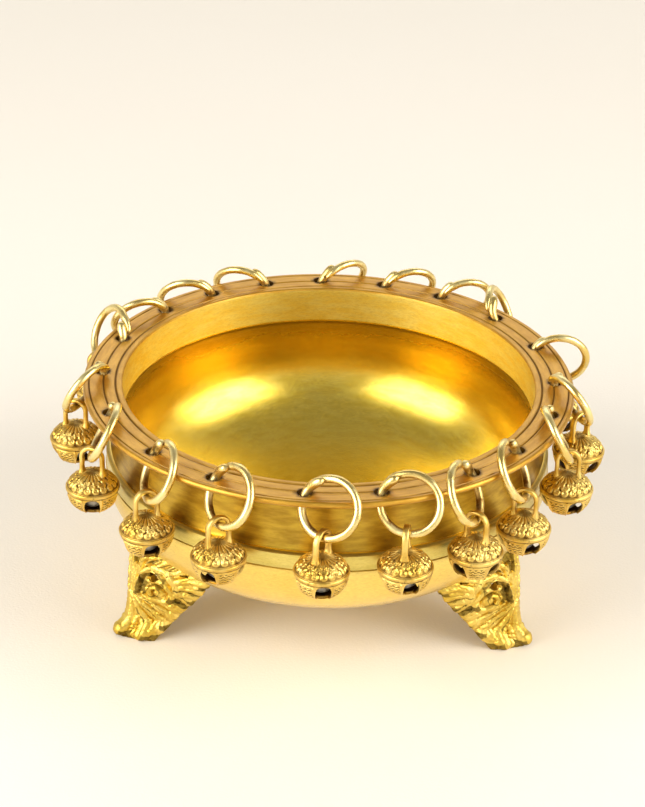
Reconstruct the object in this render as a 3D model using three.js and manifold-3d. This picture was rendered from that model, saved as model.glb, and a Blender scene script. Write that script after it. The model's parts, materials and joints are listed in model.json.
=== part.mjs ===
// Brass urli: a shallow spun bowl with a drilled flange rim, on three cast leaf feet. An open wire ring
// goes through each hole of the flange, a cast crotal bell hangs on each ring, and a loose iron pellet
// lies in each bell. Millimetres, +Z up, -Y is the front. The origin is on the bowl's axis, on the floor.

import * as THREE from 'three';
import { mergeVertices } from 'three/addons/utils/BufferGeometryUtils.js';
import Module from 'manifold-3d';

const wasm = await Module();
wasm.setup();

const RUNNING_GAP = 0.3;

// Bowl: heights are above the floor, radii from the axis.
const RIM_HEIGHT = 98;
const RIM_RADIUS = 100;
const MOUTH_RADIUS = 84;
const FLANGE_THICKNESS = 2.6;
const EDGE_BEAD_RADIUS = FLANGE_THICKNESS / 2;
const NECK_RADIUS = 86.8;
const NECK_END_RADIUS = 89.4;
const NECK_END_DROP = 28;
const BAND_RADIUS = 91.2;
const BAND_DROP = 28.6;
const INNER_STEP_DROP = 15;
const BOWL_SEGMENTS = 42;

// Belly: it curves in below its drop and reaches the bottom's drop at the axis. A power of 2 is an ellipse.
const OUTER_BELLY = { radius: 91.6, drop: 35.3, bottomDrop: 76.5, power: 2.35 };
const INNER_BELLY = { radius: 88.7, drop: 29.5, bottomDrop: 73.6, power: 2.3 };
const BELLY_STEPS = 7;

// Flange holes, unevenly spaced: each ring's entry below says where its hole is.
const HOLE_CIRCLE_RADIUS = 92.5;
const HOLE_RADIUS = 2.95;
const HOLE_SEGMENTS = 10;

// Rings
const RING_RADIUS = 11.4;
const WIRE_RADIUS = 1.6;
const WIRE_SIDES = 6;
const RING_SEGMENTS = 18;
const RING_TILT = 27;
const RING_DROP = 2;

// Where each ring hangs: azimuth of its hole, counted from the front to the right, and its lean from the
// radial direction, positive towards greater azimuths. A tilt (foot of the ring outwards) and a drop of
// the ring's centre below its hole follow only where a ring hangs unlike the others.
const RINGS = [
  { azimuth: -5, lean: 67 },
  { azimuth: 13, lean: 65 },
  { azimuth: 37, lean: -57 },
  { azimuth: 53, lean: -67 },
  { azimuth: 73.5, lean: -67 },
  { azimuth: 91, lean: -62 },
  { azimuth: 111, lean: -20, tilt: 12, drop: 5 },
  { azimuth: 130, lean: 40 },
  { azimuth: 149, lean: -47, tilt: 22 },
  { azimuth: 165.5, lean: -60 },
  { azimuth: 183, lean: -60 },
  { azimuth: 198, lean: 60 },
  { azimuth: 214, lean: 60 },
  { azimuth: 230, lean: 60 },
  { azimuth: 250, lean: -40 },
  { azimuth: 269, lean: 61 },
  { azimuth: 291, lean: 67 },
  { azimuth: 313.5, lean: 67 },
  { azimuth: 332.5, lean: 67 },
];

// Bell: heights are from the middle of the wire that it hangs on, and from its seam.
const SEAM_RADIUS = 10.8;
const SEAM_DROP = 14;
const DOME_HEIGHT = 6.3;
const CUP_DEPTH = 10.6;
const BELL_WALL = 1.1;
const BELL_SEGMENTS = 12;
// Shares of the seam's radius, and of the cup's depth or the dome's height, from the bottom up.
const CUP_SHAPE = [[0, 1], [0.62, 0.83], [0.92, 0.44]];
const DOME_SHAPE = [[1, 0], [0.84, 0.55], [0.42, 0.92], [0, 1]];
const SLOT_WIDTH = 5.7;
const SLOT_INNER_RADIUS = 5.2;
const SLOT_TOP = -1.5;
const SLOT_BOTTOM = -8.4;
const LOOP_OUTER_RADIUS = 5.4;
const LOOP_INNER_RADIUS = 3.4;
const LOOP_WIDTH = 2.6;
const LOOP_CENTRE_DROP = LOOP_INNER_RADIUS - WIRE_RADIUS - RUNNING_GAP;
const LOOP_FOOT_DROP = 9.1;

// Pellet: one for each bell but the last, whose place is at the back.
const PELLET_RADIUS = 5.4;
const PELLET_COUNT = 18;
const PELLET_SEGMENTS = 8;

// Feet: one behind and two in front. Each station is a place on the spine of the leaf, which folds back
// on both sides of it: halfWidth is to the side, and sweep is how far back the edges lie.
const FOOT_AZIMUTHS = [-60, 60, 180];
const FOOT_THICKNESS = 5.4;
const FOOT_STATIONS = [
  { out: 94.5, up: -4, halfWidth: 9, sweep: 8 },
  { out: 92.0, up: 0, halfWidth: 10, sweep: 9.5 },
  { out: 90.0, up: 4, halfWidth: 11, sweep: 11.5 },
  { out: 88.3, up: 10, halfWidth: 12.5, sweep: 14 },
  { out: 87.2, up: 17, halfWidth: 16.5, sweep: 16.5 },
  { out: 86.5, up: 24, halfWidth: 22, sweep: 18.5 },
  { out: 86.0, up: 31, halfWidth: 26.5, sweep: 20 },
  { out: 85.4, up: 38, halfWidth: 27.5, sweep: 20.5 },
  { out: 84.4, up: 44, halfWidth: 25, sweep: 20 },
];
const FOOT_FOLD_POWER = 1.35;
const FOOT_EDGE_SHARE = 0.7;
const FOOT_STEPS_ACROSS = 8;
const FLOOR_CUT_SIZE = 220;

const castBrass = new THREE.MeshStandardMaterial({ color: 0xa08a35, roughness: 0.42, metalness: 1 });
const bowlBrass = new THREE.MeshStandardMaterial({ color: 0xc39a45, roughness: 0.3, metalness: 1 });
const wireBrass = new THREE.MeshStandardMaterial({ color: 0xc2a153, roughness: 0.28, metalness: 1 });
const bellBrass = new THREE.MeshStandardMaterial({ color: 0xb48b3a, roughness: 0.38, metalness: 1 });
const pelletIron = new THREE.MeshStandardMaterial({ color: 0x3c3c3e, roughness: 0.6, metalness: 0.8 });

const radians = THREE.MathUtils.degToRad;

// A closed mesh with shared vertices, holding positions only.
function welded(geometry) {
  const bare = geometry.clone();
  bare.deleteAttribute('normal');
  bare.deleteAttribute('uv');
  return mergeVertices(bare, 1e-4);
}

function solidOf(geometry) {
  const closed = welded(geometry);
  const mesh = new wasm.Mesh({
    numProp: 3,
    vertProperties: new Float32Array(closed.attributes.position.array),
    triVerts: new Uint32Array(closed.index.array),
  });
  return new wasm.Manifold(mesh);
}

function geometryOf(solid) {
  const mesh = solid.getMesh();
  const geometry = new THREE.BufferGeometry();
  geometry.setAttribute('position', new THREE.BufferAttribute(new Float32Array(mesh.vertProperties), 3));
  geometry.setIndex(new THREE.BufferAttribute(new Uint32Array(mesh.triVerts), 1));
  geometry.computeVertexNormals();
  return geometry;
}

// A solid of revolution about Z, from a profile of [radius, height] points that starts and ends on the axis.
function turned(profile, segments) {
  const points = profile.map(([radius, height]) => new THREE.Vector2(radius, height));
  return new THREE.LatheGeometry(points, segments).rotateX(Math.PI / 2);
}

// Points of an arc in the profile plane; angles are in degrees from the outward direction.
function arc(centreRadius, centreHeight, radius, from, to, steps) {
  return Array.from({ length: steps + 1 }, (_, i) => {
    const angle = radians(from + ((to - from) * i) / steps);
    return [centreRadius + radius * Math.cos(angle), centreHeight + radius * Math.sin(angle)];
  });
}

// A belly's profile from the axis at the bottom up to its full radius. A positive offset grows it.
function bellyProfile({ radius, drop, bottomDrop, power }, offset) {
  return Array.from({ length: BELLY_STEPS + 1 }, (_, i) => {
    const angle = (Math.PI / 2) * (i / BELLY_STEPS);
    const outward = Math.sin(angle) ** (2 / power);
    const downward = Math.abs(Math.cos(angle)) ** (2 / power);
    return [(radius + offset) * outward, RIM_HEIGHT - drop - (bottomDrop - drop + offset) * downward];
  });
}

// The outside of the bowl below its flange, from the middle of the bottom up. A positive offset grows it.
function outsideProfile(offset) {
  return [
    ...bellyProfile(OUTER_BELLY, offset),
    [BAND_RADIUS + offset, RIM_HEIGHT - BAND_DROP],
    [NECK_END_RADIUS + offset, RIM_HEIGHT - NECK_END_DROP],
    [NECK_RADIUS + offset, RIM_HEIGHT - INNER_STEP_DROP],
  ];
}

function buildBowl() {
  const profile = [
    ...outsideProfile(0),
    [NECK_RADIUS, RIM_HEIGHT - FLANGE_THICKNESS],
    ...arc(RIM_RADIUS - EDGE_BEAD_RADIUS, RIM_HEIGHT - EDGE_BEAD_RADIUS, EDGE_BEAD_RADIUS, -90, 90, 4),
    [MOUTH_RADIUS, RIM_HEIGHT],
    [MOUTH_RADIUS, RIM_HEIGHT - INNER_STEP_DROP],
    ...bellyProfile(INNER_BELLY, 0).reverse(),
  ];
  let bowl = solidOf(turned(profile, BOWL_SEGMENTS));
  for (const { azimuth } of RINGS) {
    const drill = new THREE.CylinderGeometry(HOLE_RADIUS, HOLE_RADIUS, 4 * FLANGE_THICKNESS, HOLE_SEGMENTS);
    drill.rotateX(Math.PI / 2);
    drill.translate(0, -HOLE_CIRCLE_RADIUS, RIM_HEIGHT - FLANGE_THICKNESS / 2);
    drill.rotateZ(radians(azimuth));
    bowl = bowl.subtract(solidOf(drill));
  }
  return geometryOf(bowl);
}

// A leaf plate folded back about its spine, which lies in the YZ plane, and thinner at its edges.
function buildLeaf() {
  const spine = new THREE.SplineCurve(FOOT_STATIONS.map(({ out, up }) => new THREE.Vector2(out, up)));
  const last = FOOT_STATIONS.length - 1;
  const positions = [];
  for (const side of [1, -1]) {
    FOOT_STATIONS.forEach(({ halfWidth, sweep }, i) => {
      const at = spine.getPoint(i / last);
      const along = spine.getTangent(i / last);
      const outward = new THREE.Vector2(along.y, -along.x);
      for (let j = 0; j <= FOOT_STEPS_ACROSS; j += 1) {
        const across = (2 * j) / FOOT_STEPS_ACROSS - 1;
        const fold = Math.abs(across) ** FOOT_FOLD_POWER;
        const half = (FOOT_THICKNESS / 2) * (1 - (1 - FOOT_EDGE_SHARE) * fold);
        const shift = side * half - sweep * fold;
        positions.push(across * halfWidth, at.x + outward.x * shift, at.y + outward.y * shift);
      }
    });
  }
  const row = FOOT_STEPS_ACROSS + 1;
  const sheet = FOOT_STATIONS.length * row;
  const index = [];
  const quad = (a, b, c, d) => index.push(a, b, c, a, c, d);
  for (let i = 0; i < last; i += 1) {
    for (let j = 0; j < FOOT_STEPS_ACROSS; j += 1) {
      const a = i * row + j;
      quad(a, a + row, a + row + 1, a + 1);
      quad(sheet + a, sheet + a + 1, sheet + a + row + 1, sheet + a + row);
    }
    const right = i * row + FOOT_STEPS_ACROSS;
    quad(i * row, sheet + i * row, sheet + (i + 1) * row, (i + 1) * row);
    quad(right, right + row, sheet + right + row, sheet + right);
  }
  for (let j = 0; j < FOOT_STEPS_ACROSS; j += 1) {
    const top = last * row + j;
    quad(j, j + 1, sheet + j + 1, sheet + j);
    quad(top, sheet + top, sheet + top + 1, top + 1);
  }
  const geometry = new THREE.BufferGeometry();
  geometry.setAttribute('position', new THREE.Float32BufferAttribute(positions, 3));
  geometry.setIndex(index);
  return geometry;
}

// A foot is the leaf cut flat at the floor, and cut to the bowl's belly, where it is brazed on.
function buildFoot() {
  const belly = outsideProfile(RUNNING_GAP);
  const [, topHeight] = belly[belly.length - 1];
  const bowlSpace = solidOf(turned([...belly, [0, topHeight]], BOWL_SEGMENTS));
  const floor = new THREE.BoxGeometry(FLOOR_CUT_SIZE, FLOOR_CUT_SIZE, FLOOR_CUT_SIZE);
  floor.translate(0, 0, -FLOOR_CUT_SIZE / 2);
  return geometryOf(solidOf(buildLeaf()).subtract(bowlSpace).subtract(solidOf(floor)));
}

function buildRing() {
  const torus = new THREE.TorusGeometry(RING_RADIUS, WIRE_RADIUS, WIRE_SIDES, RING_SEGMENTS);
  return welded(torus.rotateX(Math.PI / 2));
}

// The loop on a bell: an upright bow around the wire, which runs along X.
function buildLoop() {
  const bow = new THREE.Shape();
  bow.moveTo(LOOP_OUTER_RADIUS, -LOOP_FOOT_DROP);
  bow.lineTo(LOOP_OUTER_RADIUS, -LOOP_CENTRE_DROP);
  bow.absarc(0, -LOOP_CENTRE_DROP, LOOP_OUTER_RADIUS, 0, Math.PI, false);
  bow.lineTo(-LOOP_OUTER_RADIUS, -LOOP_FOOT_DROP);
  bow.lineTo(-LOOP_INNER_RADIUS, -LOOP_FOOT_DROP);
  bow.lineTo(-LOOP_INNER_RADIUS, -LOOP_CENTRE_DROP);
  bow.absarc(0, -LOOP_CENTRE_DROP, LOOP_INNER_RADIUS, Math.PI, 0, true);
  bow.lineTo(LOOP_INNER_RADIUS, -LOOP_FOOT_DROP);
  const strap = new THREE.ExtrudeGeometry(bow, { depth: LOOP_WIDTH, bevelEnabled: false, curveSegments: 3 });
  strap.translate(0, 0, -LOOP_WIDTH / 2);
  return strap.rotateX(Math.PI / 2).rotateZ(Math.PI / 2);
}

// The hollow body of a bell about its seam: a dome over a cup, shrunk by an inset for the inside.
function bellBody(inset) {
  const seam = SEAM_RADIUS - inset;
  const dome = DOME_HEIGHT - inset;
  const cup = CUP_DEPTH - inset;
  const profile = [
    ...CUP_SHAPE.map(([radius, height]) => [radius * seam, -height * cup]),
    ...DOME_SHAPE.map(([radius, height]) => [radius * seam, height * dome]),
  ];
  return turned(profile, BELL_SEGMENTS);
}

function buildBell() {
  let body = solidOf(bellBody(0));
  body = body.subtract(solidOf(bellBody(BELL_WALL)));
  const slotDepth = SEAM_RADIUS - SLOT_INNER_RADIUS;
  for (let quarter = 0; quarter < 4; quarter += 1) {
    const slot = new THREE.BoxGeometry(2 * slotDepth, SLOT_WIDTH, SLOT_TOP - SLOT_BOTTOM);
    slot.translate(SLOT_INNER_RADIUS + slotDepth, 0, (SLOT_TOP + SLOT_BOTTOM) / 2);
    body = body.subtract(solidOf(slot.rotateZ((quarter * Math.PI) / 2)));
  }
  const hanging = solidOf(geometryOf(body).translate(0, 0, -SEAM_DROP));
  return geometryOf(hanging.add(solidOf(buildLoop())));
}

function buildPellet() {
  return welded(new THREE.SphereGeometry(PELLET_RADIUS, PELLET_SEGMENTS, PELLET_SEGMENTS / 2));
}

function named(name, geometry, material) {
  const mesh = new THREE.Mesh(geometry, material);
  mesh.name = name;
  return mesh;
}

const number = (index) => String(index + 1).padStart(2, '0');

const urli = new THREE.Group();
urli.add(named('bowl', buildBowl(), bowlBrass));

const footGeometry = buildFoot();
FOOT_AZIMUTHS.forEach((azimuth, i) => {
  const foot = named(`foot_${i + 1}`, footGeometry, castBrass);
  foot.rotation.z = radians(azimuth + 180);
  urli.add(foot);
});

const ringGeometry = buildRing();
const bellGeometry = buildBell();
const pelletGeometry = buildPellet();
const pelletDrop = SEAM_DROP + CUP_DEPTH - BELL_WALL - PELLET_RADIUS - RUNNING_GAP;

RINGS.forEach(({ azimuth, lean, tilt = RING_TILT, drop = RING_DROP }, i) => {
  // The group stands in the hole, with X along the ring's chord and Z up.
  const hanger = new THREE.Group();
  const hole = radians(azimuth);
  hanger.position.set(
    HOLE_CIRCLE_RADIUS * Math.sin(hole),
    -HOLE_CIRCLE_RADIUS * Math.cos(hole),
    RIM_HEIGHT - FLANGE_THICKNESS / 2,
  );
  hanger.rotation.z = radians(azimuth - 90 + lean);

  const tilted = new THREE.Group();
  tilted.rotation.x = -Math.sign(lean) * radians(tilt);
  const ring = named(`ring_${number(i)}`, ringGeometry, wireBrass);
  const halfChord = Math.sqrt(RING_RADIUS ** 2 - drop ** 2);
  ring.position.set(halfChord, 0, -drop);
  tilted.add(ring);

  const reach = drop + RING_RADIUS;
  const hung = new THREE.Group();
  hung.position.set(halfChord, reach * Math.sin(tilted.rotation.x), -reach * Math.cos(tilted.rotation.x));
  hung.add(named(`bell_${number(i)}`, bellGeometry, bellBrass));
  if (i < PELLET_COUNT) {
    const pellet = named(`pellet_${number(i)}`, pelletGeometry, pelletIron);
    pellet.position.z = -pelletDrop;
    hung.add(pellet);
  }

  hanger.add(tilted, hung);
  urli.add(hanger);
});

export default urli;
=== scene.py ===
"""Brass urli bowl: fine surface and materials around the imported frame. Metres, +Z up, -Y in front."""

import json
import math
import random

import bmesh
import bpy
import numpy as np
from mathutils import Matrix, Vector


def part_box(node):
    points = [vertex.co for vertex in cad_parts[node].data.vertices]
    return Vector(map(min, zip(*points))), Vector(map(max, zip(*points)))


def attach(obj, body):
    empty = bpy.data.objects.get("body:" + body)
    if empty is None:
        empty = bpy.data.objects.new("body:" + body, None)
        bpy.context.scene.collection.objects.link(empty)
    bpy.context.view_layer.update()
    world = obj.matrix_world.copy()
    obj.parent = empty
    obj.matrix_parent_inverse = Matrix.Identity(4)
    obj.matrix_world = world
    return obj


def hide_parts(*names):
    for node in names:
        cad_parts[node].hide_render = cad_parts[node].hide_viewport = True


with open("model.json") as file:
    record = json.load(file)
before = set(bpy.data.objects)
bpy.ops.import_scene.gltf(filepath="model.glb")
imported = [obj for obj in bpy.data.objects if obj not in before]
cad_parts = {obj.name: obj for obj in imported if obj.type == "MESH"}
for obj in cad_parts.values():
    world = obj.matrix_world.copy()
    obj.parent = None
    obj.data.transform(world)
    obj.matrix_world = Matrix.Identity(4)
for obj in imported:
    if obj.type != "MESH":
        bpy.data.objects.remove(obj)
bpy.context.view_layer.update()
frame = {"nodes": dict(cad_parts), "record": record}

MM = 0.001
rng = np.random.default_rng(7)

# ---------------------------------------------------------------- sizes, in millimetres below the rim's top
RIM_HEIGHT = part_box("bowl")[1][2] / MM
MOUTH = 84.0
RIM = 100.0
FLANGE = 2.6
NECK = 86.8
BAND = 91.2
OUTER_BELLY = (91.6, 35.3, 76.5, 2.35)
INNER_BELLY = (88.2, 29.5, 73.6, 2.3)
HOLE_RADIUS = 3.05
RING_RADIUS = 11.4
WIRE = 1.6
SEAM = 10.8
SEAM_DROP = 14.0
DOME = 6.3
CUP = 10.6
CUP_RIM = SEAM * 0.955
PELLET = 5.4
BELL_WALL = 1.1
PELLET_GAP = 0.3
CUP_POWER = 2.35
SHARP_EDGE = math.radians(35)

joints = {joint["name"]: joint for joint in frame["record"]["behaviour"]["joints"]}
RING_COUNT = sum(name.startswith("ring_") for name in frame["nodes"])
FEET = sorted(name for name in frame["nodes"] if name.startswith("foot_"))


# ---------------------------------------------------------------- camera and light
def add_camera():
    """Ten rim radii away, 27.9 degrees above the rim, with a slight roll."""
    distance = 10 * RIM * MM
    elevation = math.radians(27.87)
    roll = math.radians(1.42)
    data = bpy.data.cameras.new("camera")
    data.lens = 109.3
    data.shift_x = -0.0081
    data.shift_y = -0.0312
    data.clip_end = 20
    camera = bpy.data.objects.new("camera", data)
    bpy.context.scene.collection.objects.link(camera)
    back = Vector((0, -math.cos(elevation), math.sin(elevation)))
    level = Vector((1, 0, 0))
    upright = back.cross(level)
    right = level * math.cos(roll) + upright * math.sin(roll)
    up = upright * math.cos(roll) - level * math.sin(roll)
    turn = Matrix((right, up, back)).transposed()
    target = Vector((0, 0, RIM_HEIGHT * MM))
    camera.matrix_world = Matrix.Translation(target + back * distance) @ turn.to_4x4()
    bpy.context.scene.camera = camera


def add_area(name, place, target, size, power, color):
    data = bpy.data.lights.new(name, "AREA")
    data.shape = "RECTANGLE"
    data.size, data.size_y = size
    data.energy = power
    data.color = color
    lamp = bpy.data.objects.new(name, data)
    bpy.context.scene.collection.objects.link(lamp)
    lamp.location = place
    lamp.rotation_euler = (Vector(target) - Vector(place)).to_track_quat("-Z", "Y").to_euler()


def add_lights():
    """A softbox and a low fill on each side in front, a light on the backdrop, and a pale room."""
    centre = (0, 0, 0.05)
    softbox_size = (1.25, 1.25)
    softbox_color = (1.0, 0.985, 0.95)
    fill_size = (0.9, 0.5)
    fill_color = (1.0, 0.97, 0.92)
    add_area("softbox_left", (-1.20, -0.74, 0.80), centre, softbox_size, 24.5, softbox_color)
    add_area("softbox_right", (1.29, -0.52, 0.80), centre, softbox_size, 23.5, softbox_color)
    add_area("fill_left", (-1.6, -1.1, 0.34), centre, fill_size, 8, fill_color)
    add_area("fill_right", (1.7, -0.9, 0.34), centre, fill_size, 1.5, fill_color)
    add_area("backdrop_light", (0, 2.2, 1.6), (0, 1.3, 0), (2.4, 1.2), 15, (1.0, 0.98, 0.95))
    bpy.context.scene.world = studio_world()
    bpy.context.scene.view_settings.view_transform = "Standard"


def studio_world():
    """A pale room, brightest near the horizon."""
    world = bpy.data.worlds.new("studio")
    world.use_nodes = True
    nodes = world.node_tree.nodes
    links = world.node_tree.links
    split = nodes.new("ShaderNodeSeparateXYZ")
    links.new(nodes.new("ShaderNodeTexCoord").outputs["Generated"], split.inputs[0])
    height = nodes.new("ShaderNodeMapRange")
    height.interpolation_type = "SMOOTHSTEP"
    height.inputs["From Max"].default_value = 0.85
    links.new(split.outputs["Z"], height.inputs["Value"])
    blend = nodes.new("ShaderNodeMix")
    blend.data_type = "RGBA"
    blend.inputs[6].default_value = (0.90, 0.86, 0.79, 1)
    blend.inputs[7].default_value = (0.34, 0.33, 0.31, 1)
    links.new(height.outputs[0], blend.inputs[0])
    links.new(blend.outputs[2], nodes["Background"].inputs["Color"])
    return world


# ---------------------------------------------------------------- shader helpers
class Shader:
    """A node tree with short calls for the nodes that the materials use."""

    def __init__(self, name):
        self.material = bpy.data.materials.new(name)
        self.material.use_nodes = True
        self.tree = self.material.node_tree
        self.surface = self.tree.nodes["Principled BSDF"]

    def node(self, kind, **settings):
        node = self.tree.nodes.new(kind)
        for key, value in settings.items():
            setattr(node, key, value)
        return node

    def put(self, value, socket):
        if isinstance(value, bpy.types.NodeSocket):
            self.tree.links.new(value, socket)
        elif isinstance(value, tuple) and len(value) == 3 and socket.type == "RGBA":
            socket.default_value = (*value, 1)
        else:
            socket.default_value = value

    def math(self, operation, a, b=0.0, c=0.0, clamp=False):
        node = self.node("ShaderNodeMath", operation=operation, use_clamp=clamp)
        for value, socket in zip((a, b, c), node.inputs):
            self.put(value, socket)
        return node.outputs[0]

    def mix(self, factor, a, b, blend="MIX"):
        node = self.node("ShaderNodeMix", data_type="RGBA", blend_type=blend)
        self.put(factor, node.inputs[0])
        self.put(a, node.inputs[6])
        self.put(b, node.inputs[7])
        return node.outputs[2]

    def steps(self, value, low, high, to_low=0.0, to_high=1.0):
        node = self.node("ShaderNodeMapRange", interpolation_type="SMOOTHSTEP")
        for item, socket in zip((value, low, high, to_low, to_high), node.inputs):
            self.put(item, socket)
        return node.outputs[0]

    def noise(self, scale, detail=4.0, roughness=0.55, vector=None, distortion=0.0):
        node = self.node("ShaderNodeTexNoise")
        node.inputs["Scale"].default_value = scale
        node.inputs["Detail"].default_value = detail
        node.inputs["Roughness"].default_value = roughness
        node.inputs["Distortion"].default_value = distortion
        self.put(vector or self.place(), node.inputs["Vector"])
        return node.outputs[0]

    def place(self):
        return self.node("ShaderNodeTexCoord").outputs["Object"]

    def attribute(self, name):
        return self.node("ShaderNodeAttribute", attribute_name=name).outputs["Fac"]

    def bump(self, height, strength, distance, normal=None):
        node = self.node("ShaderNodeBump")
        node.inputs["Strength"].default_value = strength
        node.inputs["Distance"].default_value = distance
        self.put(height, node.inputs["Height"])
        if normal:
            self.put(normal, node.inputs["Normal"])
        return node.outputs[0]

    def turned_place(self, around=0.02):
        """Coordinates that change quickly across the lathe's grooves and slowly along them."""
        split = self.node("ShaderNodeSeparateXYZ")
        self.put(self.place(), split.inputs[0])
        x, y, z = split.outputs
        radius = self.math("SQRT", self.math("ADD", self.math("MULTIPLY", x, x), self.math("MULTIPLY", y, y)))
        angle = self.math("MULTIPLY", self.math("ARCTAN2", y, x), around)
        join = self.node("ShaderNodeCombineXYZ")
        for value, socket in zip((radius, angle, z), join.inputs):
            self.put(value, socket)
        return join.outputs[0]

    def finish(self, **sockets):
        for name, value in sockets.items():
            self.put(value, self.surface.inputs[name.replace("_", " ").title()])
        return self.material


# The bowl's zones that differ from its belly: two tones of each, and its roughness.
BOWL_TONES = (
    ("band", (0.70, 0.55, 0.12), (0.80, 0.65, 0.18), 0.34),
    ("neck", (0.34, 0.19, 0.010), (0.56, 0.36, 0.030), 0.30),
    ("top", (0.50, 0.255, 0.022), (0.66, 0.37, 0.045), 0.44),
    ("mouth", (0.96, 0.76, 0.16), (0.98, 0.86, 0.28), 0.40),
    ("inside", (0.86, 0.60, 0.06), (0.92, 0.68, 0.11), 0.20),
)


def bowl_brass():
    """Lathe-turned brass in six tones, with turned lines, cloudy tarnish, dark grooves, painted shade under
    the mouth's step and small spots.
    """
    s = Shader("bowl_brass")
    turned = s.turned_place()
    lines = s.noise(2600, 6, 0.7, turned)
    broad = s.noise(420, 4, 0.6, turned)
    cloud = s.noise(28, 5, 0.6)
    spots = s.noise(1300, 2, 0.5)
    patina_and_shade = s.attribute("patina_and_shade")
    tone = s.mix(s.steps(cloud, 0.35, 0.68), (0.93, 0.66, 0.14), (0.96, 0.73, 0.20))
    rough = s.steps(cloud, 0.3, 0.7, 0.30, 0.40)
    for zone, low, high, smooth in BOWL_TONES:
        here = s.attribute(zone)
        tone = s.mix(here, tone, s.mix(s.steps(broad, 0.3, 0.7), low, high))
        rough = s.math("ADD", s.math("MULTIPLY", rough, s.math("SUBTRACT", 1.0, here)),
                       s.math("MULTIPLY", here, s.steps(cloud, 0.3, 0.7, smooth, smooth + 0.07)))
    tone = s.mix(s.steps(lines, 0.35, 0.75, 0, 0.30), tone, (0.36, 0.20, 0.03))
    tone = s.mix(s.steps(spots, 0.70, 0.78, 0, 0.35), tone, (0.30, 0.15, 0.02))
    # Darkens the dirty grooves and holes, and paints shade under the mouth's step.
    tone = s.mix(s.math("MULTIPLY", patina_and_shade, 0.9, clamp=True), tone, (0.055, 0.024, 0.006))
    rough = s.math("ADD", rough, s.math("MULTIPLY", patina_and_shade, 0.3))
    normal = s.bump(lines, 0.22, 0.0002)
    normal = s.bump(cloud, 0.05, 0.002, normal)
    return s.finish(base_color=tone, metallic=1.0, roughness=rough, normal=normal,
                    coat_weight=0.3, coat_roughness=0.2)


def cast_brass(name, base, light, patina_and_shade_tone, roughness, grain, grain_depth):
    """Cast brass: rubbed bright on its raised parts, with patina in its hollows and painted shade where a
    piece's mesh carries it, and a grainy skin.
    """
    s = Shader(name)
    patina_and_shade = s.attribute("patina_and_shade")
    cloud = s.noise(90, 4, 0.6)
    grains = s.noise(grain, 5, 0.65)
    specks = s.noise(grain * 0.45, 3, 0.7)
    # Patina in the hollows and painted shade (inside the bells, on the rings' shaded sides) both pull the
    # colour towards the dark tone.
    dirt_and_shade = s.math("ADD", patina_and_shade, s.steps(specks, 0.5, 0.78, -0.1, 0.35), clamp=True)
    color = s.mix(s.steps(cloud, 0.35, 0.65), base, light)
    color = s.mix(s.steps(dirt_and_shade, 0.2, 0.9), color, patina_and_shade_tone)
    rough = s.math("ADD", s.steps(cloud, 0.3, 0.7, roughness, roughness + 0.1), s.math("MULTIPLY", dirt_and_shade, 0.3))
    normal = s.bump(grains, grain_depth, 0.0004)
    return s.finish(base_color=color, metallic=1.0, roughness=rough, normal=normal)


def pellet_iron():
    """Dull dark iron with a coarse grain."""
    s = Shader("pellet_iron")
    grain = s.noise(700, 5, 0.7)
    cloud = s.noise(160, 3, 0.6)
    color = s.mix(s.steps(cloud, 0.35, 0.65), (0.17, 0.165, 0.15), (0.40, 0.38, 0.34))
    rough = s.steps(grain, 0.3, 0.7, 0.32, 0.55)
    return s.finish(base_color=color, metallic=0.6, roughness=rough, normal=s.bump(grain, 0.5, 0.0004))


def stage_cloth():
    """Pale matt cloth with a faint grain."""
    s = Shader("stage_cloth")
    cloud = s.noise(3, 3, 0.5)
    color = s.mix(cloud, (0.86, 0.80, 0.71), (0.88, 0.83, 0.75))
    grain = s.noise(900, 2, 0.5)
    return s.finish(base_color=color, roughness=0.9, normal=s.bump(grain, 0.25, 0.0004))


# ---------------------------------------------------------------- mesh helpers
def mesh_object(name, points, faces, scale=MM):
    """An object from points in millimetres."""
    mesh = bpy.data.meshes.new(name)
    mesh.from_pydata([tuple(p) for p in np.asarray(points, float) * scale], [], [tuple(f) for f in faces])
    mesh.validate()
    return placed(name, mesh)


def placed(name, mesh):
    obj = bpy.data.objects.new(name, mesh)
    bpy.context.scene.collection.objects.link(obj)
    return obj


def outward(obj):
    """Makes the faces point out and marks the edges sharper than 35 degrees."""
    bm = bmesh.new()
    bm.from_mesh(obj.data)
    bmesh.ops.remove_doubles(bm, verts=bm.verts, dist=1e-7)
    bmesh.ops.recalc_face_normals(bm, faces=bm.faces)
    for face in bm.faces:
        face.smooth = True
    for edge in bm.edges:
        edge.smooth = edge.calc_face_angle(0) < SHARP_EDGE
    bm.to_mesh(obj.data)
    bm.free()
    return obj


def cut(obj, cutter, operation="DIFFERENCE"):
    """Applies a boolean with another object, which is then removed."""
    modifier = obj.modifiers.new("cut", "BOOLEAN")
    modifier.operation = operation
    modifier.object = cutter
    modifier.solver = "MANIFOLD"
    bpy.context.view_layer.update()
    result = bpy.data.meshes.new_from_object(obj.evaluated_get(bpy.context.evaluated_depsgraph_get()))
    result.materials.clear()
    obj.modifiers.clear()
    obj.data = result
    bpy.data.objects.remove(cutter)
    return obj


def coordinates(mesh):
    """The mesh's points in millimetres."""
    flat = np.empty(len(mesh.vertices) * 3)
    mesh.vertices.foreach_get("co", flat)
    return flat.reshape(-1, 3) / MM


def set_attribute(mesh, name, values):
    attribute = mesh.attributes.new(name, "FLOAT", "POINT")
    attribute.data.foreach_set("value", np.clip(values, 0, 1))


def grid_faces(rows, columns, start=0, flip=False, wrap=False):
    """Quads between rows of points; wrap joins each row's end to its start."""
    faces = []
    last = columns if wrap else columns - 1
    for i in range(rows - 1):
        for j in range(last):
            a = start + i * columns + j
            b = start + i * columns + (j + 1) % columns
            quad = (a, b, b + columns, a + columns)
            faces.append(quad[::-1] if flip else quad)
    return faces


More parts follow.
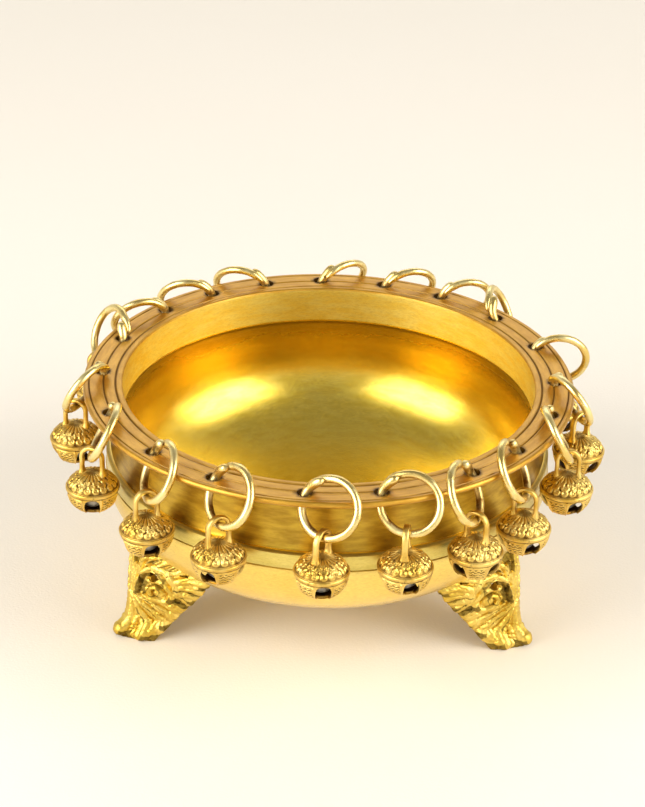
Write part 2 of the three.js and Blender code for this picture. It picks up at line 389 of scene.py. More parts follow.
def prism_faces(base, count):
    """Faces of a prism whose two ends are consecutive runs of points."""
    far = base + count
    faces = [(base + k, base + (k + 1) % count, far + (k + 1) % count, far + k) for k in range(count)]
    faces.append(tuple(base + k for k in reversed(range(count))))
    faces.append(tuple(far + k for k in range(count)))
    return faces


def turn_profile(name, profile, segments, radial=None):
    """A solid of revolution. The profile starts and ends on the axis; radial can reshape its surface."""
    angles = np.arange(segments) * 2 * math.pi / segments
    rows = np.array(profile[1:-1], float)
    radius = np.repeat(rows[:, :1], segments, 1)
    height = np.repeat(rows[:, 1:2], segments, 1)
    if radial is not None:
        radius, height = radial(radius, height, angles)
    points = np.stack([radius * np.cos(angles), radius * np.sin(angles), height], -1).reshape(-1, 3)
    points = np.vstack([points, (0, 0, profile[0][1]), (0, 0, profile[-1][1])])
    faces = grid_faces(len(rows), segments, wrap=True)
    first, last = len(points) - 2, len(points) - 1
    top = (len(rows) - 1) * segments
    for j in range(segments):
        k = (j + 1) % segments
        faces.append((first, k, j))
        faces.append((last, top + j, top + k))
    return outward(mesh_object(name, points, faces))


def arc(centre, radius, start, stop, steps):
    angles = np.radians(np.linspace(start, stop, steps + 1))
    return [(centre[0] + radius * math.cos(a), centre[1] + radius * math.sin(a)) for a in angles]


def finish_piece(obj, body, nodes, material):
    """Gives a piece its material, unless its mesh has it already, and ties it to the frame."""
    if not obj.data.materials:
        obj.data.materials.append(material)
    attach(obj, body)
    if nodes:
        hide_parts(*nodes)


def smooth_steps(x, low, high):
    t = np.clip((x - low) / (high - low), 0, 1)
    return t * t * (3 - 2 * t)


# ---------------------------------------------------------------- bowl
RIM_GROOVES = ((97.6, 0.45, 0.7), (91.7, 0.45, 0.8), (86.9, 0.5, 0.9))
WALL_LINES = (28.2, 35.3)


def groove_points(radius, depth, width, height):
    """A rounded groove across a level face, from its outer side in."""
    steps = np.linspace(-1, 1, 7)
    return [(radius - t * width / 2, height - depth * (1 - t * t)) for t in steps]


def belly_curve(belly, steps):
    """A belly's profile from the axis at the bottom up to its full radius."""
    radius, drop, bottom, power = belly
    turn = np.linspace(0, math.pi / 2, steps)
    share = 2 / power
    deep = bottom - drop
    return [(radius * math.sin(t) ** share, -drop - deep * abs(math.cos(t)) ** share) for t in turn]


def outer_wall():
    """The outside from the middle of the bottom up to the flange, below the rim's top."""
    belly = belly_curve(OUTER_BELLY, 56)[:-1]
    band = [
        (BAND + 0.15, -WALL_LINES[1] - 0.3), (BAND - 0.35, -WALL_LINES[1]), (BAND, -WALL_LINES[1] + 0.3),
        (BAND, -33), (BAND, -31), (BAND, -29.6), (BAND - 0.15, -28.9), (BAND - 0.9, -28.5),
        (BAND - 2.3, -WALL_LINES[0]), (BAND - 1.9, -27.7),
    ]
    neck = [(NECK + 2.5 * ((-z - 12) / 16) ** 1.6, z) for z in np.linspace(-27, -12.5, 14)]
    fillet = [(NECK, -10), (NECK, -7), (NECK, -5)] + arc((NECK + 1.4, -FLANGE - 1.4), 1.4, 180, 90, 5)
    return belly + band + neck + fillet


def rim_top():
    """The edge bead and the turned grooves of the flange, from its edge in."""
    edge = arc((RIM - FLANGE / 2, -FLANGE / 2), FLANGE / 2, -90, 90, 14)
    (g1, d1, w1), (g2, d2, w2), (g3, d3, w3) = RIM_GROOVES
    middle = [(r, -0.12) for r in (97.0, 96.2, 95.4, 94.6, 93.8, 93.1)]
    ridge = [(92.7, -0.1), (92.4, 0.0), (92.2, -0.05)]
    band = [(r, -0.08) for r in (91.2, 90.4, 89.6, 88.8, 88.0, 87.5)]
    lip = [(86.3, -0.05), (85.8, 0.0), (85.2, 0.0)] + arc((84.9, -0.9), 0.9, 90, 180, 7)
    return (edge + groove_points(g1, d1, w1, -0.08) + middle + ridge + groove_points(g2, d2, w2, -0.1)
            + band + groove_points(g3, d3, w3, -0.1) + lip)


def inner_wall():
    """The inside from the mouth down to the middle of the bottom."""
    neck = [(MOUTH, z) for z in np.linspace(-3, -14.2, 8)]
    step = arc((MOUTH + 3.0, -14.6), 3.0, 178, 226, 10)
    share = np.linspace(0.12, 0.94, 12)
    flare = [(84.9 + 3.3 * t * (1.5 - 0.5 * t * t), -16.8 - 12.7 * t) for t in share]
    return neck + step + flare + belly_curve(INNER_BELLY, 64)[::-1]


def hole_places():
    """The middle of each hole of the flange, in millimetres."""
    places = [joints[f"ring_{i + 1:02d}_swivel"]["pos_m"] for i in range(RING_COUNT)]
    return np.array(places) / MM


def add_bowl(material):
    """The bowl, turned from its profile and drilled by hand, so no hole is quite on its mark."""
    profile = [(r, z + RIM_HEIGHT) for r, z in outer_wall() + rim_top() + inner_wall()]
    bowl = turn_profile("urli_bowl", profile, 360)
    drills = []
    faces = []
    sides = 20
    for i, (x, y, z) in enumerate(hole_places()):
        wobble = rng.uniform(-0.12, 0.12, 2)
        for height in (z - 8, z + 8):
            for k in range(sides):
                a = 2 * math.pi * k / sides
                drills.append((x + wobble[0] + HOLE_RADIUS * math.cos(a),
                               y + wobble[1] + HOLE_RADIUS * math.sin(a), height))
        faces += prism_faces(i * 2 * sides, sides)
    cutter = mesh_object("drills", drills, faces)
    outward(cutter)
    outward(cut(bowl, cutter))
    points = coordinates(bowl.data)
    set_attribute(bowl.data, "patina_and_shade", bowl_dirt_and_shade(points))
    for zone, values in bowl_zones(points).items():
        set_attribute(bowl.data, zone, values)
    finish_piece(bowl, "bowl", ["bowl"], material)


def bowl_zones(points):
    """Which points lie inside, in the mouth, on the flange, on the neck and on the band below it."""
    radius = np.hypot(points[:, 0], points[:, 1])
    drop = RIM_HEIGHT - points[:, 2]
    inside = (radius < MOUTH + 0.05) & (drop > 0.85) | (drop > 10) & (radius < bowl_middle(drop))
    top = (drop <= 1.2) & ~inside | (radius > NECK + 1.5) & (drop < FLANGE + 0.1)
    outside = ~inside & ~top
    return {
        "inside": (inside & (drop >= 15)).astype(float),
        "mouth": (inside & (drop < 15)).astype(float),
        "top": top.astype(float),
        "neck": (outside & (drop < WALL_LINES[0])).astype(float),
        "band": (outside & (drop >= WALL_LINES[0]) & (drop < WALL_LINES[1])).astype(float),
    }


def bowl_middle(drop):
    """The radius halfway through the wall at a drop."""
    rows = [(10, 85.4), (20, 86.9), (28, 88.9)]
    middle = [(a + b) / 2 for a, b in zip(OUTER_BELLY, INNER_BELLY)]
    rows += [(-z, r) for r, z in belly_curve(middle, 30)[::-1]][1:]
    drops, radii = np.array(rows).T
    return np.where(drop > drops[-1], 0, np.interp(drop, drops, radii))


def bowl_dirt_and_shade(points):
    """How dark a point of the bowl is painted: dirt in the grooves, painted shade under the mouth's step, and
    darker in and round the holes.
    """
    radius = np.hypot(points[:, 0], points[:, 1])
    drop = RIM_HEIGHT - points[:, 2]
    dirt_and_shade = np.zeros(len(points))
    for groove, _, width in RIM_GROOVES:
        near = np.exp(-((radius - groove) / (0.45 * width)) ** 2) * (drop < 1)
        dirt_and_shade = np.maximum(dirt_and_shade, 0.75 * near)
    outside = radius > bowl_middle(drop)
    dirt_and_shade = np.maximum(dirt_and_shade, 0.95 * np.exp(-((drop - WALL_LINES[0]) / 0.35) ** 2) * outside)
    dirt_and_shade = np.maximum(dirt_and_shade, 0.35 * np.exp(-((drop - WALL_LINES[1]) / 0.3) ** 2) * outside)
    # Painted shade under the mouth's step, strongest just below it and fading downwards.
    under = (drop > 15.8) & (radius < bowl_middle(drop))
    dirt_and_shade = np.maximum(dirt_and_shade, 0.30 * np.exp(-((drop - 16) / 7) ** 2) * under)
    for x, y, _ in hole_places():
        gap = np.hypot(points[:, 0] - x, points[:, 1] - y) - HOLE_RADIUS
        dirt_and_shade = np.maximum(dirt_and_shade, 0.85 * np.exp(-(np.maximum(gap, 0) / 0.5) ** 2) * (drop < 4))
    return dirt_and_shade


# ---------------------------------------------------------------- rings
def unit(vector):
    """The vector at length 1."""
    return vector / np.linalg.norm(vector)


def ring_frame(index):
    """The ring's centre, its chord direction, its up direction in its plane and its outward normal."""
    swivel = joints[f"ring_{index:02d}_swivel"]
    swing = joints[f"bell_{index:02d}_swing"]
    hole = np.array(swivel["pos_m"]) / MM
    foot = np.array(swing["pos_m"]) / MM
    chord = unit(np.array(swing["axis"]))
    if np.dot(foot - hole, chord) < 0:
        chord = -chord
    up = unit((hole - foot) + np.dot(foot - hole, chord) * chord)
    return foot + RING_RADIUS * up, chord, up, np.cross(chord, up)


def tube(name, path, radii, sides=16):
    """A closed tube with domed ends along a path of points in millimetres."""
    path = np.asarray(path)
    along = np.gradient(path, axis=0)
    along /= np.linalg.norm(along, axis=1)[:, None]
    side = np.cross(along, np.roll(along, 1, 0))[len(path) // 2]
    rows = []
    for point, direction, radius in zip(path, along, radii):
        side = unit(side - np.dot(side, direction) * direction)
        other = np.cross(direction, side)
        for k in range(sides):
            a = 2 * math.pi * k / sides
            rows.append(point + radius * (math.cos(a) * side + math.sin(a) * other))
    faces = grid_faces(len(path), sides, wrap=True)
    count = len(rows)
    rows += [path[0] - along[0] * radii[0] * 0.5, path[-1] + along[-1] * radii[-1] * 0.5]
    top = (len(path) - 1) * sides
    for j in range(sides):
        k = (j + 1) % sides
        faces.append((count, k, j))
        faces.append((count + 1, top + j, top + k))
    return outward(mesh_object(name, rows, faces))


def wire_line(index):
    """The ring's wire in its own plane: angle, radius and sideways offset in mm, and thickness, step by step.
    It starts behind the top, goes round, comes up through the hole and ends as a stub beside its start."""
    draw = random.Random(index)
    start = draw.uniform(146, 154)
    overlap = draw.uniform(26, 36)
    angle = np.linspace(start, start - 360 - overlap, 150)
    gone = start - angle
    left = gone[::-1]
    behind = 1 - smooth_steps(gone, 4, 42)
    before = 1 - smooth_steps(left, 8, 44)
    radius = RING_RADIUS * (1 + 0.014 * np.sin(np.radians(2 * angle + 70 * index)))
    radius += 0.8 * behind - 0.6 * before
    offset = 1.6 * before - 1.4 * behind
    wave = (1 + 0.02 * np.sin(np.radians(5 * angle) + index)
            + 0.012 * np.sin(np.radians(13 * angle) + 2 * index))
    stub = smooth_steps(left, 2, 16) * (1 - smooth_steps(left, 30, 52))
    thick = WIRE * wave * (1 - 0.42 * (1 - smooth_steps(gone, 0, 34)) + 0.18 * stub)
    thick *= np.sqrt(np.clip(smooth_steps(np.minimum(gone + 1.0, left + 1.0), 0, 8), 0.08, 1))
    return np.radians(angle), radius, offset, thick


def add_ring(index, material):
    """Wire bent into a ring, whose two ends lie side by side above the flange."""
    centre, chord, up, normal = ring_frame(index)
    if np.dot(normal, centre * (1, 1, 0)) < 0:
        normal = -normal
    angle, radius, offset, thick = wire_line(index)
    path = (centre + np.outer(radius * np.cos(angle), chord) + np.outer(radius * np.sin(angle), up)
            + np.outer(offset, normal))
    ring = tube(f"ring_wire_{index:02d}", path, thick)
    points = coordinates(ring.data)
    away = points - centre
    # Painted shade: darker on the ring's inner side and on its lower part, more towards one end of its chord.
    inner = smooth_steps(1 - np.linalg.norm(away, axis=1) / RING_RADIUS, 0.02, 0.13)
    low = smooth_steps(away @ -up, 1, 8) * smooth_steps(away @ -chord, -2, 6)
    dark = 0.35 * inner + 0.5 * low * (0.4 + 0.6 * inner)
    # Darker at the wire's two ends, and painted shade where the ring passes through the flange's hole.
    for end, reach in ((path[0], 2.6), (path[-1], 1.7), (hole_places()[index - 1], 3.4)):
        dark = np.maximum(dark, 0.7 * np.exp(-(np.linalg.norm(points - end, axis=1) / reach) ** 2))
    set_attribute(ring.data, "patina_and_shade", dark)
    finish_piece(ring, f"ring_{index:02d}", [f"ring_{index:02d}"], material)


# ---------------------------------------------------------------- bells
BELL_PHASES = (-6, 38, 22)
BELL_TWIST = 18

# The dome from the seam up: shares of the seam's radius and of the dome's height.
DOME_LINE = (
    (0.945, 0.1), (0.93, 0.15), (0.905, 0.235), (0.87, 0.33), (0.825, 0.43), (0.77, 0.53), (0.71, 0.615),
    (0.65, 0.685), (0.585, 0.75), (0.515, 0.808), (0.44, 0.86), (0.36, 0.905), (0.28, 0.943), (0.19, 0.975),
    (0.1, 0.994), (0.0, 1.0),
)

# Rows of scrolls on the dome: share of the seam's radius, number of scrolls, and how far round they start.
SCROLL_ROWS = ((0.62, 12, 0.0), (0.735, 12, 0.5), (0.845, 18, 0.0))


def bell_profile():
    """The outside of a bell about its seam, from the bottom up."""
    lean = np.linspace(0, 0.93, 22)
    sines = np.sin(lean * math.pi / 2)
    cup = [(CUP_RIM * t, -CUP * (1 - t ** CUP_POWER) ** (1 / CUP_POWER)) for t in sines]
    cup = [(r, z) for r, z in cup if z < -1.6] + [(SEAM * 0.953, -1.5), (CUP_RIM, -1.15)]
    seam = [(SEAM * 0.975, -1.0), (SEAM * 0.995, -0.7), (SEAM, -0.3), (SEAM, 0.1),
            (SEAM * 0.985, 0.45), (SEAM * 0.96, 0.62)]
    dome = [(SEAM * r, DOME * h) for r, h in DOME_LINE]
    return cup + seam + dome


def finer(profile, times):
    """The profile with points added on the straight lines between its own."""
    points = np.array(profile)
    at = np.arange(len(points))
    fine = np.linspace(0, len(points) - 1, (len(points) - 1) * times + 1)
    return list(zip(np.interp(fine, at, points[:, 0]), np.interp(fine, at, points[:, 1])))


def bell_relief(radius, height, angles):
    """Height of a bell's relief: petals round the loop, rows of scrolls, and framed wavy panels below."""
    share = radius / SEAM
    relief = np.zeros_like(radius)
    upper = height > 0.7
    petals = np.abs(np.cos(angles * 10)) ** 0.6 - 0.55
    inner = smooth_steps(share, 0.05, 0.2)
    outer = 1 - smooth_steps(share, 0.52, 0.6)
    relief += np.where(upper, 0.55 * petals * inner * outer, 0)
    for ring, count, phase in SCROLL_ROWS:
        cell = ((angles * count / (2 * math.pi) + phase) % 1 - 0.5) * 2
        scroll = np.hypot(cell * 0.085, share - ring)
        leaf = np.exp(-((scroll - 0.052) / 0.02) ** 2) * 0.75 + np.exp(-(scroll / 0.02) ** 2) * 0.6 - 0.25
        relief += np.where(upper, leaf * np.exp(-((share - ring) / 0.085) ** 4), 0)
    quarter = (angles % (math.pi / 2)) - math.pi / 4
    level = -height / CUP
    lower = (height < -1.3) & (level < 0.97)
    reach = np.abs(quarter)
    frame_line = np.exp(-((reach - 0.40) / 0.035) ** 2) * 0.5 * (level < 0.82)
    level_lines = np.exp(-((level - 0.2) / 0.02) ** 2) + np.exp(-((level - 0.82) / 0.02) ** 2)
    frame_line += level_lines * 0.4 * (reach < 0.42)
    field = (reach < 0.34) & (level < 0.78) & (level > 0.24)
    waves = np.sin(level * 48 + 1.5 * np.sin(quarter * 30))
    relief += np.where(lower, frame_line + np.where(field, 0.32 * waves, 0), 0)
    return relief


def bell_surface(radius, height, angles):
    """Moves a bell's surface out along its own slope by the relief and a little roughness."""
    relief = bell_relief(radius, height, angles[None, :].repeat(len(radius), 0))
    relief = relief * 0.62 + rng.normal(0, 0.012, radius.shape)
    slope_r = np.gradient(radius[:, 0])
    slope_z = np.gradient(height[:, 0])
    length = np.hypot(slope_r, slope_z) + 1e-9
    keep = smooth_steps(radius, 0.0, 1.6)
    return (radius + relief * keep * (slope_z / length)[:, None],
            height - relief * keep * (slope_r / length)[:, None])


def loop_path():
    """The bell's loop: up one side, over the wire, and down the other, about the wire."""
    reach = 4.35
    arch = -1.55
    leg = [(0, reach, z) for z in np.linspace(-9.0, arch - 0.6, 8)]
    bow = [(0, reach * math.cos(a), arch + reach * math.sin(a)) for a in np.linspace(0, math.pi, 21)]
    return leg + bow + [(0, -y, z) for _, y, z in reversed(leg)]


def strap(name, path, half_width, half_depth):
    """A strap with rounded edges along a path in the YZ plane."""
    path = np.array(path)
    along = np.gradient(path, axis=0)
    along /= np.linalg.norm(along, axis=1)[:, None]
    sides = 16
    points = []
    for point, direction in zip(path, along):
        out = np.array((0, direction[2], -direction[1]))
        flare = 1 + 0.5 * float(smooth_steps(-point[2], 6.4, 9.0))
        for k in range(sides):
            a = 2 * math.pi * k / sides
            c, s = math.cos(a), math.sin(a)
            wide = half_width * math.copysign(abs(c) ** 0.6, c) * flare
            deep = half_depth * math.copysign(abs(s) ** 0.6, s) * flare
            points.append(point + np.array((wide, 0, 0)) + out * deep)
    faces = grid_faces(len(path), sides, wrap=True)
    faces.append(tuple(range(sides)))
    faces.append(tuple((len(path) - 1) * sides + k for k in reversed(range(sides))))
    return outward(mesh_object(name, points, faces))


def slot_cutters():
    """Four windows in the cup, widest at mid height."""
    half = [(1.9, -9.7), (2.6, -8.8), (3.0, -7.2), (3.1, -5.6),
            (3.0, -3.8), (2.6, -2.5), (1.9, -1.85), (0.8, -1.55)]
    outline = [(-x, z) for x, z in half[:1]] + half + [(-x, z) for x, z in half[:0:-1]]
    points = []
    faces = []
    for quarter in range(4):
        a = quarter * math.pi / 2
        base = len(points)
        for radius in (4.4, 14.0):
            for side, height in outline:
                points.append((radius * math.cos(a) - side * math.sin(a),
                               radius * math.sin(a) + side * math.cos(a), height))
        faces += prism_faces(base, len(outline))
    return outward(mesh_object("slots", points, faces))


def bell_mesh(phase):
    """A bell about the middle of its wire, with the wire along X and its windows turned by phase."""
    body = turn_profile("bell", finer(bell_profile(), 2), 200, bell_surface)
    inside = [(r * (1 - BELL_WALL / SEAM), h * (1 - BELL_WALL / (DOME if h > 0 else CUP)))
              for r, h in bell_profile()]
    coarse = [p for i, p in enumerate(inside) if i % 2 == 0 or i == len(inside) - 1]
    cut(body, turn_profile("hollow", coarse, 40))
    cut(body, slot_cutters())
    body.data.transform(Matrix.Translation((0, 0, -SEAM_DROP * MM)) @ Matrix.Rotation(phase, 4, "Z"))
    cut(body, strap("loop", loop_path(), 1.25, 0.85), "UNION")
    outward(body)
    set_attribute(body.data, "patina_and_shade", bell_dirt_and_shade(coordinates(body.data), phase))
    mesh = body.data
    bpy.data.objects.remove(body)
    return mesh


def bell_dirt_and_shade(points, phase):
    """Dirt between the reliefs and along the seam, darker round the loop's feet, and painted shade all over
    the inside and where the ring's wire runs through the loop.
    """
    radius = np.hypot(points[:, 0], points[:, 1])
    height = points[:, 2] + SEAM_DROP
    angles = np.arctan2(points[:, 1], points[:, 0]) - phase
    relief = bell_relief(radius, height, angles)
    dirt_and_shade = smooth_steps(-relief, -0.10, 0.12) * 0.8
    dirt_and_shade = np.maximum(dirt_and_shade, 0.85 * np.exp(-((height - 0.95) / 0.3) ** 2))
    dirt_and_shade = np.maximum(dirt_and_shade, 0.85 * np.exp(-((height + 1.25) / 0.3) ** 2))
    dirt_and_shade = np.maximum(dirt_and_shade, 0.7 * smooth_steps(-radius, -4.6, -2.0) * (height > 4))
    # Painted shade: the whole inside of the bell is made as dark as its deepest hollows.
    power = np.where(height > 0, 2.0, CUP_POWER)
    tall = np.where(height > 0, DOME - 0.5, CUP - 0.5)
    inside = (radius / (CUP_RIM - 0.5)) ** power + (np.abs(height) / tall) ** power < 0.985
    inside &= height < 0.8 * DOME
    dirt_and_shade = np.where(inside, 1.0, dirt_and_shade)
    # The loop is a little darker all over, with painted shade where the ring's wire runs through it.
    loop = height > DOME + 0.1
    wire_gap = np.hypot(points[:, 1], points[:, 2] + 1.5)
    return np.where(loop, 0.15 + 0.5 * (wire_gap < 3.7), dirt_and_shade)


def add_bells(material, iron):
    """A bell on every ring, each with its pellet; three bell meshes take turns."""
    meshes = [bell_mesh(math.radians(phase)) for phase in BELL_PHASES]
    ball = pellet_mesh()
    for index in range(1, RING_COUNT + 1):
        _, chord, _, _ = ring_frame(index)
        swing = joints[f"bell_{index:02d}_swing"]
        turn = math.atan2(chord[1], chord[0])
        turn += math.radians(random.Random(40 + index).uniform(-BELL_TWIST, BELL_TWIST))
        place = Matrix.Translation(Vector(swing["pos_m"])) @ Matrix.Rotation(turn, 4, "Z")
        body = f"bell_{index:02d}"
        bell = placed(f"jingle_bell_{index:02d}", meshes[index % len(meshes)])
        bell.matrix_world = place
        finish_piece(bell, body, [body], material)
        pellet = placed(f"bell_pellet_{index:02d}", ball)
        rest = SEAM_DROP + CUP - BELL_WALL - PELLET - PELLET_GAP
        spin = Matrix.Rotation(index * 2.4, 4, "X")
        pellet.matrix_world = place @ Matrix.Translation((0, 0, -rest * MM)) @ spin
        node = f"pellet_{index:02d}"
        held = node in frame["nodes"]
        finish_piece(pellet, node if held else body, [node] if held else [], iron)


def pellet_mesh():
    """A ball with shallow dents."""
    bm = bmesh.new()
    bmesh.ops.create_icosphere(bm, subdivisions=4, radius=PELLET * MM)
    for vertex in bm.verts:
        x, y, z = vertex.co / MM
        dent = math.sin(1.3 * x + 0.4) * math.sin(1.1 * y - 0.7) * math.sin(1.2 * z + 1.1)
        vertex.co *= 1 - 0.02 * abs(dent)
    for face in bm.faces:
        face.smooth = True
    mesh = bpy.data.meshes.new("pellet")
    bm.to_mesh(mesh)
    bm.free()
    return mesh


# ---------------------------------------------------------------- feet
FOOT_TOP = 44.0
# The leaf's middle line: height, distance from the axis, half width, and how far its sides sweep back.
FOOT_LINE = ((0, 92.0, 10.0, 9.5), (4, 90.0, 11.0, 11.5), (10, 88.3, 12.5, 14.0), (17, 87.2, 16.5, 16.5),
             (24, 86.5, 22.0, 18.5), (31, 86.0, 26.5, 20.0), (38, 85.4, 27.5, 20.5), (44, 84.4, 25.0, 20.0))

# Fronds of half a leaf: points (to the side, above the floor), the half width at each end, and the height.
FRONDS = (
    (((0, 45), (0, 33), (0, 20)), 1.5, 1.0, 1.0),
    (((0, 20), (0, 12), (0, 3.5)), 0.9, 2.5, 1.5),
    (((0.6, 19), (3.2, 12), (5.9, 6.5), (6.6, 2.2)), 0.8, 2.3, 1.5),
    (((1.2, 19.5), (5.6, 14), (9.2, 9.2), (10.6, 4.6)), 0.8, 2.0, 1.4),
    (((2.0, 20), (7.4, 16.8), (11.2, 13.4), (12.6, 9.6)), 0.8, 1.9, 1.4),
    (((1.6, 20), (2.8, 26), (4.6, 31.5), (8.6, 35), (12.8, 34.4), (15.6, 30.6), (16.2, 26.5)), 0.9, 1.6, 1.7),
    (((15.2, 24.5), (18.4, 21.6), (19.2, 18.2)), 1.0, 1.7, 1.4),
    (((15.8, 26), (20.2, 24.6), (22.6, 22.2)), 1.0, 1.7, 1.3),
    (((16.2, 28), (21.4, 28.4), (25.2, 26.8)), 1.0, 1.8, 1.3),
    (((16.0, 30.6), (21.2, 32.6), (26.2, 32.4)), 1.0, 1.8, 1.3),
    (((14.2, 33.6), (19.6, 36.6), (26.0, 38.0)), 1.0, 1.7, 1.2),
    (((10.4, 36), (15.6, 39.8), (22.6, 42.4)), 0.9, 1.7, 1.2),
    (((3.0, 30), (4.2, 36.5), (8.4, 41.2), (14.0, 43.6)), 0.8, 1.6, 1.2),
    (((4.6, 20.6), (9.4, 18.8), (13.6, 15.6), (15.0, 12.4)), 0.7, 1.7, 1.3),
    (((9.0, 20.2), (13.2, 18.9), (16.4, 15.8)), 0.7, 1.6, 1.2),
    (((0.4, 21), (1.9, 15), (2.6, 9.5), (2.7, 6)), 0.6, 1.0, 1.0),
    (((4.6, 16.5), (7.8, 12.6), (8.4, 8.6), (8.2, 4.4)), 0.6, 1.1, 1.1),
    (((8.4, 15.4), (11.2, 12.4), (11.9, 8.6)), 0.6, 1.1, 1.0),
    (((1.2, 22.5), (1.4, 28), (2.2, 33.5)), 0.7, 1.0, 1.1),
    (((4.6, 30.5), (7.4, 32.6), (10.4, 32.2), (12.6, 29.4)), 0.6, 1.1, 1.0),
    (((13.0, 27.4), (13.8, 24.4), (13.2, 21.6)), 0.7, 1.1, 1.1),
    (((17.2, 29.4), (20.6, 30.4), (24.2, 30.0)), 0.5, 0.9, 0.9),
    (((16.4, 32.6), (20.6, 34.8), (25.6, 35.4)), 0.5, 0.9, 0.9),
    (((12.8, 35.0), (17.6, 38.4), (24.0, 40.4)), 0.5, 0.9, 0.9),
    (((5.4, 34.5), (7.8, 38.0), (12.2, 40.8)), 0.6, 1.0, 1.0),
)

# Beads between the fronds: to the side, above the floor, and radius.
FOOT_BEADS = (
    (0, 2.6, 1.7), (3.2, 4.6, 1.2), (7.9, 4.2, 1.1), (2.9, 9.0, 0.9), (2.6, 22.6, 1.0),
    (3.2, 17.0, 0.9), (6.2, 19.2, 0.9), (8.6, 12.4, 0.8), (12.6, 17.4, 1.0), (2.9, 38.6, 1.0),
    (7.4, 38.2, 0.9), (19.6, 30.4, 0.9), (11.6, 38.6, 0.8),
)

# The volute's middle, to the side and above the floor, and its reach.
VOLUTE = (9.8, 23.4, 5.4)

# Holes through the leaf: to the side, above the floor, half width and half height.
FOOT_HOLES = ((8.7, 30.6, 1.9, 2.2), (3.9, 27.6, 0.55, 2.6), (19.4, 34.7, 1.6, 0.6))


def along_line(x, h, points):
    """Each place's distance from a line and its share of the way along it."""
    points = np.array(points, float)
    lengths = np.linalg.norm(np.diff(points, axis=0), axis=1)
    total = lengths.sum()
    distance = np.full(x.shape, 1e9)
    share = np.zeros(x.shape)
    travelled = 0.0
    for (ax, ah), (bx, bh), length in zip(points[:-1], points[1:], lengths):
        t = np.clip(((x - ax) * (bx - ax) + (h - ah) * (bh - ah)) / length ** 2, 0, 1)
        gap = np.hypot(x - ax - t * (bx - ax), h - ah - t * (bh - ah))
        nearer = gap < distance
        distance = np.where(nearer, gap, distance)
        share = np.where(nearer, (travelled + t * length) / total, share)
        travelled += length
    return distance, share


def volute_line():
    """The spiral of the volute, from its outer end in."""
    cx, ch, size = VOLUTE
    turns = np.linspace(0, 1, 36)
    angles = math.radians(120) - turns * math.radians(560)
    reach = size * (1 - 0.8 * turns)
    return [(cx + r * math.cos(a), ch + r * math.sin(a)) for r, a in zip(reach, angles)]


def foot_relief(x, h):
    """Height of the acanthus relief at a point of the leaf, x to the side and h above the floor."""
    side = np.abs(x)
    relief = np.full(side.shape, -0.75)
    curves = FRONDS + ((volute_line(), 1.25, 0.85, 1.5),)
    for points, first, last, height in curves:
        distance, share = along_line(side, h, points)
        width = first + (last - first) * share ** 0.8
        dome = np.sqrt(np.clip(1 - (distance / width) ** 2, 0, 1))
        vein = 0.38 * np.exp(-(distance / 0.28) ** 2) * smooth_steps(share, 0.08, 0.3) * (width > 1.3)
        relief = np.maximum(relief, -0.7 + (height + 0.5) * dome ** 1.15 - vein)
    cx, ch, size = VOLUTE
    button = np.hypot(side - cx, h - ch) / (size * 0.36)
    relief = np.maximum(relief, -0.6 + 2.3 * np.sqrt(np.clip(1 - button ** 2, 0, 1)))
    for bead_x, bead_h, bead_r in FOOT_BEADS:
        bead = np.hypot(side - bead_x, h - bead_h) / bead_r
        relief = np.maximum(relief, -0.7 + (0.9 + bead_r) * np.sqrt(np.clip(1 - bead ** 2, 0, 1)))
    lumps = np.sin(1.9 * side + 1.3 * np.sin(0.9 * h)) * np.sin(2.1 * h + 1.1 * np.sin(1.2 * side))
    return relief + 0.10 * lumps + 0.07 * np.sin(4.3 * side + 0.8 * h) * np.sin(3.9 * h - 0.7 * side)


def foot_line(h):
    """The leaf's distance from the axis, half width and sweep at a height."""
    line = np.array(FOOT_LINE)
    return (np.interp(h, line[:, 0], line[:, k]) for k in (1, 2, 3))


def foot_surface(u, h):
    """The point of the leaf's middle at a share of its half width and a height."""
    out, width, sweep = foot_line(h)
    lobes = 1 + 0.07 * np.abs(np.sin(h * 0.62 + 0.9)) ** 0.7 - 0.05
    toe = 2.6 * np.exp(-((h - 2.6) / 3.0) ** 2) * (1 - 0.6 * np.abs(u) ** 2) * (0.85 + 0.15 * np.cos(u * 9))
    return np.stack([u * width * lobes, out - sweep * np.abs(u) ** 1.35 + toe, h], -1)


def foot_grid(columns, rows):
    """Points of the leaf's middle surface, its normals, and each column's share of the width."""
    h = np.linspace(0, FOOT_TOP, rows)[:, None].repeat(columns, 1)
    u = np.linspace(-1, 1, columns)[None, :].repeat(rows, 0)
    points = foot_surface(u, h)
    normal = np.cross(np.gradient(points, axis=0), np.gradient(points, axis=1))
    normal /= np.linalg.norm(normal, axis=2)[..., None]
    if normal[rows // 2, columns // 2, 1] < 0:
        normal = -normal
    return points, normal, u


def sheet_faces(rows, columns):
    """Faces of a closed slab from two grids of points, the front one first."""
    sheet = rows * columns
    faces = grid_faces(rows, columns) + grid_faces(rows, columns, sheet, flip=True)
    rim = [i * columns for i in range(rows)]
    rim += [(rows - 1) * columns + j for j in range(1, columns)]
    rim += [i * columns + columns - 1 for i in reversed(range(rows - 1))]
    rim += list(reversed(range(1, columns - 1)))
    for a, b in zip(rim, rim[1:] + rim[:1]):
        faces.append((a, b, sheet + b, sheet + a))
    return faces


